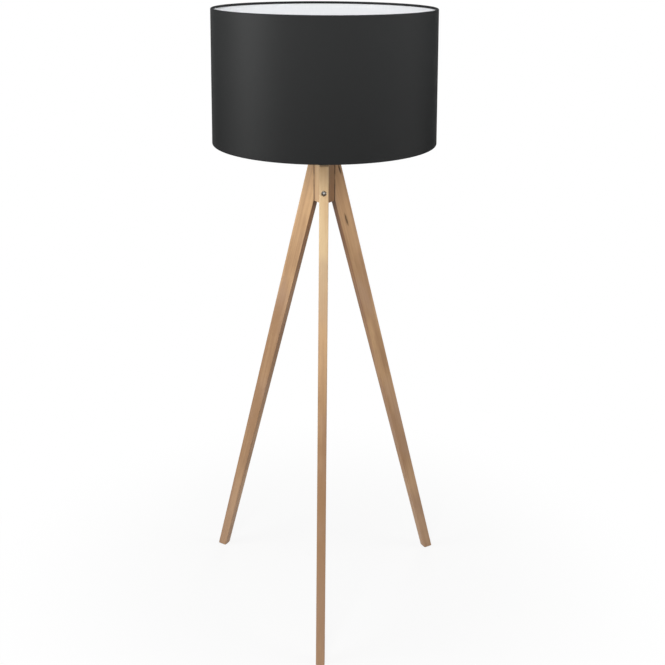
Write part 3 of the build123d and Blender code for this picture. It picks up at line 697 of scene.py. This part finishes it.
def seam_lift(bearing):
    """How far the lapped fabric stands out: a free edge on one side, easing away on the other."""
    past = (bearing - SEAM_BEARING) * SHADE_RADIUS
    if past < 0 or past > 2 * SEAM_WIDTH:
        return 0.0
    return SEAM_LIFT * min(1.0, (2 * SEAM_WIDTH - past) / SEAM_WIDTH)


def fabric_lift(bearing, height):
    """Lapped seam and slight unevenness of the stretched fabric."""
    east = math.cos(bearing) * WANDER_ROUND
    north = math.sin(bearing) * WANDER_ROUND
    spot = Vector((east, north, height * WANDER_UP))
    return seam_lift(bearing) + FABRIC_WANDER * noise.noise(spot)


def notch_cutters(roll):
    """Blocks that open the lower roll around each spoke."""
    low = shade_wall()[0]
    blocks = []
    for bearing in SPOKE_BEARINGS:
        shape = bmesh.new()
        size = Matrix.Diagonal((2 * roll, NOTCH_WIDTH, 2 * roll + NOTCH_SPARE, 1.0))
        place = Matrix.Rotation(bearing, 4, "Z") @ Matrix.Translation((low.x - roll, 0.0, low.y))
        bmesh.ops.create_cube(shape, size=1.0, matrix=place @ size)
        block = bpy.data.meshes.new("notch")
        shape.to_mesh(block)
        shape.free()
        blocks.append(block)
    return blocks


def make_shade_cover():
    """Fabric wall with rolled edges, a lapped seam at the back and a notch for each spoke."""
    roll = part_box("shade_cover")[1].z - wire_circle("shade_top_ring").y
    outline = cover_outline(roll)
    mesh = turned_skin("shade_fabric_skin", outline, skin_bearings(), fabric_lift)
    mesh = cut_away(mesh, notch_cutters(roll))
    smooth(mesh, SKIN_CORNER)
    piece = new_piece("shade_fabric_wall", mesh, shade_fabric(), "shade")
    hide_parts("shade_cover")


def make_shade_lining():
    """White lining inside the fabric, between the rolled edges."""
    low, high, along, outward = shade_wall()
    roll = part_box("shade_cover")[1].z - high.y
    bore = roll - FABRIC_THICKNESS
    outer = bore - LINING_GAP
    inner = outer - LINING_THICKNESS
    tuck = along * bore
    points = [low + tuck + outward * outer, high - tuck + outward * outer]
    inside = [high - tuck + outward * inner, low + tuck + outward * inner]
    loop = [points[0]] + wall_points(*points) + [points[1], inside[0]] + wall_points(*inside) + [inside[1]]
    outline = [(point.x, point.y) for point in loop]
    mesh = turned_skin("shade_lining_skin", outline, skin_bearings(240), lambda bearing, height: 0.0)
    piece = new_piece("shade_lining_wall", mesh, shade_lining(), "shade")
    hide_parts("shade_liner")


def dress(material, *names):
    """Gives CAD nodes a finish."""
    for name in names:
        cad[name].data.materials.clear()
        cad[name].data.materials.append(material)


def dress_stand():
    """Finishes of the hub, its fastenings and the feet."""
    # The hub's right face gets painted shade
    dress(lacquered_wood("hub_wood", 5.3, HUB_RING, HUB_TONES, shade_facing=HUB_SHADED_FACE), "hub")
    dress(lacquered_wood("dowel_wood", 8.1, DOWEL_RING, HUB_TONES), "leg_dowels")
    dress(pad_felt(), "foot_pads")
    zinc = marked_finish(
        "screw_zinc", ((0.46, 0.46, 0.45, 1.0), (0.62, 0.62, 0.60, 1.0)), (0.24, 0.40), 0.00004,
        Metallic=1.0,
    )
    dress(zinc, "leg_bolts", "bolt_washers", "hub_inserts", "terminal_screws")
    dress(threaded_steel(), "stem_tube")
    dress(zinc, "stem_nut", "stem_washer_lower", "stem_washer_upper")


def dress_lampholder():
    """Finishes of the lampholder and the ring that clamps the shade."""
    plastic = marked_finish(
        "black_plastic", ((0.014, 0.014, 0.015, 1.0), (0.021, 0.021, 0.022, 1.0)), (0.36, 0.50), 0.00006
    )
    dress(plastic, "cable_bush", "lampholder_cap", "lampholder_sleeve", "shade_clamp_ring")
    ceramic = marked_finish(
        "terminal_ceramic", ((0.70, 0.68, 0.62, 1.0), (0.78, 0.76, 0.70, 1.0)), (0.55, 0.70), 0.00008
    )
    dress(ceramic, "lampholder_block")
    brass = marked_finish(
        "contact_brass", ((0.62, 0.42, 0.16, 1.0), (0.75, 0.55, 0.24, 1.0)), (0.22, 0.40), 0.00003,
        Metallic=1.0,
    )
    dress(brass, "centre_contact", "side_contact", "bulb_tip_contact")


def dress_bulb():
    """Finishes of the bulb."""
    nickel = marked_finish(
        "bulb_nickel", ((0.58, 0.57, 0.55, 1.0), (0.70, 0.69, 0.67, 1.0)), (0.20, 0.34), 0.00003,
        Metallic=1.0,
    )
    dress(nickel, "bulb_cap")
    glass = marked_finish(
        "bulb_black_glass", ((0.010, 0.010, 0.012, 1.0), (0.018, 0.018, 0.020, 1.0)), (0.08, 0.16), 0.00002
    )
    dress(glass, "bulb_insulator")
    housing = marked_finish(
        "bulb_housing_plastic", ((0.74, 0.74, 0.72, 1.0), (0.80, 0.80, 0.78, 1.0)), (0.36, 0.46), 0.00004
    )
    dress(housing, "bulb_housing")
    board = marked_finish(
        "bulb_board_coat", ((0.70, 0.70, 0.68, 1.0), (0.80, 0.80, 0.78, 1.0)), (0.40, 0.55), 0.00004
    )
    dress(board, "bulb_light_board")
    opal = marked_finish(
        "bulb_opal", ((0.80, 0.80, 0.77, 1.0), (0.84, 0.84, 0.81, 1.0)), (0.28, 0.36), 0.00003,
        Subsurface_Weight=0.3, Subsurface_Scale=0.004,
    )
    dress(opal, "bulb_diffuser")


def dress_shade_frame():
    """Powder coat of the shade's wires and carrier plate."""
    coat = marked_finish(
        "shade_wire_coat", ((0.66, 0.66, 0.65, 1.0), (0.74, 0.74, 0.73, 1.0)), (0.34, 0.48), 0.00008, 1800.0
    )
    dress(coat, "shade_top_ring", "shade_bottom_ring", "shade_spokes", "shade_carrier_plate")


# Stage
def seen_directly(tree):
    """1 for rays from the camera, mirrors and glass."""
    rays = add(tree, "LightPath").outputs
    both = calc(tree, "MAXIMUM", rays["Is Camera Ray"], rays["Is Glossy Ray"])
    return calc(tree, "MAXIMUM", both, rays["Is Transmission Ray"])


def make_floor():
    """Pale floor that keeps the lamp's soft shadow and runs out into white."""
    mesh = bpy.data.meshes.new("floor")
    signs = ((-1, -1), (1, -1), (1, 1), (-1, 1))
    corners = [(x * FLOOR_REACH, y * FLOOR_REACH, 0) for x, y in signs]
    mesh.from_pydata(corners, [], [(0, 1, 2, 3)])
    floor = bpy.data.objects.new("floor", mesh)
    bpy.context.scene.collection.objects.link(floor)
    material = bpy.data.materials.new("floor_white")
    material.use_nodes = True
    tree = material.node_tree
    tree.nodes.clear()
    matt = add(tree, "BsdfDiffuse", {"Color": (0.80, 0.80, 0.80, 1.0)}).outputs[0]
    glow = add(tree, "Emission", {"Color": (1.0, 1.0, 1.0, 1.0), "Strength": 1.0}).outputs[0]
    place = object_place(tree)
    reach = add(tree, "VectorMath", {0: place}, operation="LENGTH").outputs["Value"]
    share = between(tree, reach, *FLOOR_FADE, FLOOR_WHITE, 1.0)
    white = calc(tree, "MULTIPLY", share, seen_directly(tree))
    mixed = add(tree, "MixShader", {0: white, 1: matt, 2: glow}).outputs[0]
    feed(add(tree, "OutputMaterial").inputs["Surface"], mixed)
    mesh.materials.append(material)


def make_world():
    """White backdrop with a plain soft light on the lamp."""
    world = bpy.data.worlds.new("studio")
    world.use_nodes = True
    tree = world.node_tree
    strength = between(tree, seen_directly(tree), 0.0, 1.0, WORLD_LIGHT, 1.0)
    background = tree.nodes["Background"]
    background.inputs["Color"].default_value = (1.0, 1.0, 1.0, 1.0)
    feed(background.inputs["Strength"], strength)
    bpy.context.scene.world = world


def soft_box(name, place, aim, side, power, spread=math.pi, gleam=False):
    """Square studio light, which shows in glossy surfaces only if it is to gleam."""
    lamp = bpy.data.lights.new(name, "AREA")
    lamp.shape = "SQUARE"
    lamp.size = side
    lamp.energy = power
    lamp.spread = spread
    light = bpy.data.objects.new(name, lamp)
    light.location = place
    light.rotation_euler = (Vector(aim) - Vector(place)).to_track_quat("-Z", "Y").to_euler()
    light.visible_glossy = gleam
    bpy.context.scene.collection.objects.link(light)


def make_lights():
    """Soft lights on all four sides, and a narrow one into the top of the shade."""
    soft_box("left_light", (-2.6, -0.9, 1.8), (0.0, 0.0, 1.0), 1.6, 40.0, gleam=True)
    soft_box("front_light", (-0.4, -2.3, 1.9), (0.0, 0.0, 1.0), 1.0, 34.0)
    soft_box("right_light", (2.7, -0.5, 2.1), (0.0, 0.0, 1.0), 1.6, 25.0)
    soft_box("back_light", (0.3, 2.8, 1.9), (0.0, 0.0, 1.0), 1.6, 22.0)
    soft_box("lining_light", (2.2, -1.5, 2.5), (-0.02, 0.02, 1.50), 0.50, 0.30, 0.35)


def make_camera():
    """Camera at the photograph's viewpoint."""
    level = Vector((math.cos(CAMERA_YAW), math.sin(CAMERA_YAW), 0.0))
    ahead = Vector((-math.sin(CAMERA_YAW), math.cos(CAMERA_YAW), 0.0))
    above = Vector((0.0, 0.0, 1.0))
    sight = ahead * math.cos(CAMERA_PITCH) - above * math.sin(CAMERA_PITCH)
    upright = ahead * math.sin(CAMERA_PITCH) + above * math.cos(CAMERA_PITCH)
    right = level * math.cos(CAMERA_ROLL) + upright * math.sin(CAMERA_ROLL)
    top = upright * math.cos(CAMERA_ROLL) - level * math.sin(CAMERA_ROLL)
    place = Matrix((right, top, -sight)).transposed().to_4x4()
    place.translation = Vector((0.0, -CAMERA_DISTANCE, CAMERA_HEIGHT))
    lens = bpy.data.cameras.new("camera")
    lens.sensor_width = SENSOR_MM
    lens.lens = FOCAL_PIXELS / PICTURE_PIXELS * SENSOR_MM
    lens.clip_start = 0.05
    camera = bpy.data.objects.new("camera", lens)
    camera.matrix_world = Matrix.Rotation(CAMERA_SWING, 4, "Z") @ place
    bpy.context.scene.collection.objects.link(camera)
    bpy.context.scene.camera = camera


make_leg("leg_front", 1.0, FRONT_TONES)
make_leg("leg_right", 2.4, RIGHT_TONES, RIGHT_KNOTS)
make_leg("leg_left", 3.7, LEFT_TONES)
make_shade_cover()
make_shade_lining()
dress_stand()
dress_lampholder()
dress_bulb()
dress_shade_frame()
make_floor()
make_world()
make_lights()
make_camera()
bpy.context.scene.view_settings.view_transform = "Standard"
